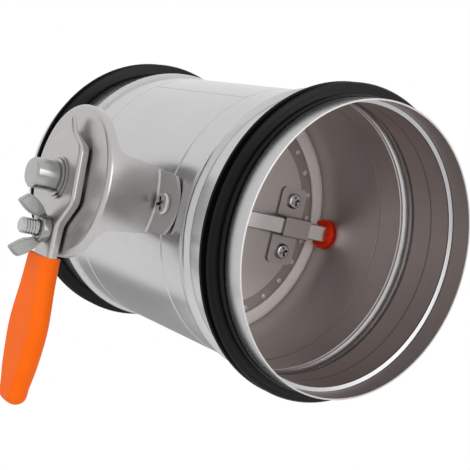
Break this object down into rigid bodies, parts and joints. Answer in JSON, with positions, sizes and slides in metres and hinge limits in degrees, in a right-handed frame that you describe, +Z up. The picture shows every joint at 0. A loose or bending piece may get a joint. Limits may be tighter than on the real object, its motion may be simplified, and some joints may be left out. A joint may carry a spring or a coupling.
{
  "type": "manual duct damper",
  "caption": "Round duct damper: galvanised spigot casing with lip gaskets, a swinging disc blade on a square shaft, and a hand lever with a coloured grip locked by a wing nut.",
  "frame": {"origin": "where the duct axis crosses the blade shaft's axis", "axes": "+X along the duct, +Y along the shaft away from the handle, +Z up with the closed lever pointing down"},
  "size_m": [0.188, 0.1762, 0.1665],
  "materials": {
    "galvanised_sheet": "satin galvanised",
    "bracket_steel": "satin",
    "blade_steel": "satin",
    "shaft_steel": "drawn",
    "zinc_plated": "bright zinc",
    "black_rubber": "matt",
    "pale_rubber": "matt",
    "orange_plastic": "satin moulded",
    "red_plastic": "satin moulded"
  },
  "bodies": {
    "casing": {"duct_casing": "galvanised_sheet", "end_gasket_front": "black_rubber", "end_gasket_rear": "black_rubber", "handle_bracket": "bracket_steel", "bracket_screws": "zinc_plated", "bush_handle_side": "red_plastic", "bush_far_side": "red_plastic"},
    "rotor": {"square_shaft": "shaft_steel", "blade_front_disc": "blade_steel", "blade_rear_disc": "blade_steel", "blade_seal": "pale_rubber", "shaft_clip_handle_side": "blade_steel", "shaft_clip_far_side": "blade_steel", "clip_screws": "zinc_plated", "friction_washer": "zinc_plated", "lever_plate": "bracket_steel", "lever_grip": "orange_plastic", "lever_hub": "zinc_plated", "hub_washer": "zinc_plated", "clamp_bolt": "zinc_plated"},
    "nut": {"wing_nut": "zinc_plated"}
  },
  "joints": [
    {"name": "blade_swing", "type": "hinge", "parent": "casing", "child": "rotor", "pos_m": [0, 0, 0], "axis": [0, 1, 0], "range_deg": [0, 90]},
    {"name": "wing_nut_turn", "type": "hinge", "parent": "rotor", "child": "nut", "pos_m": [0, -0.0985, -0.0224], "axis": [0, 1, 0], "continuous": true}
  ]
}
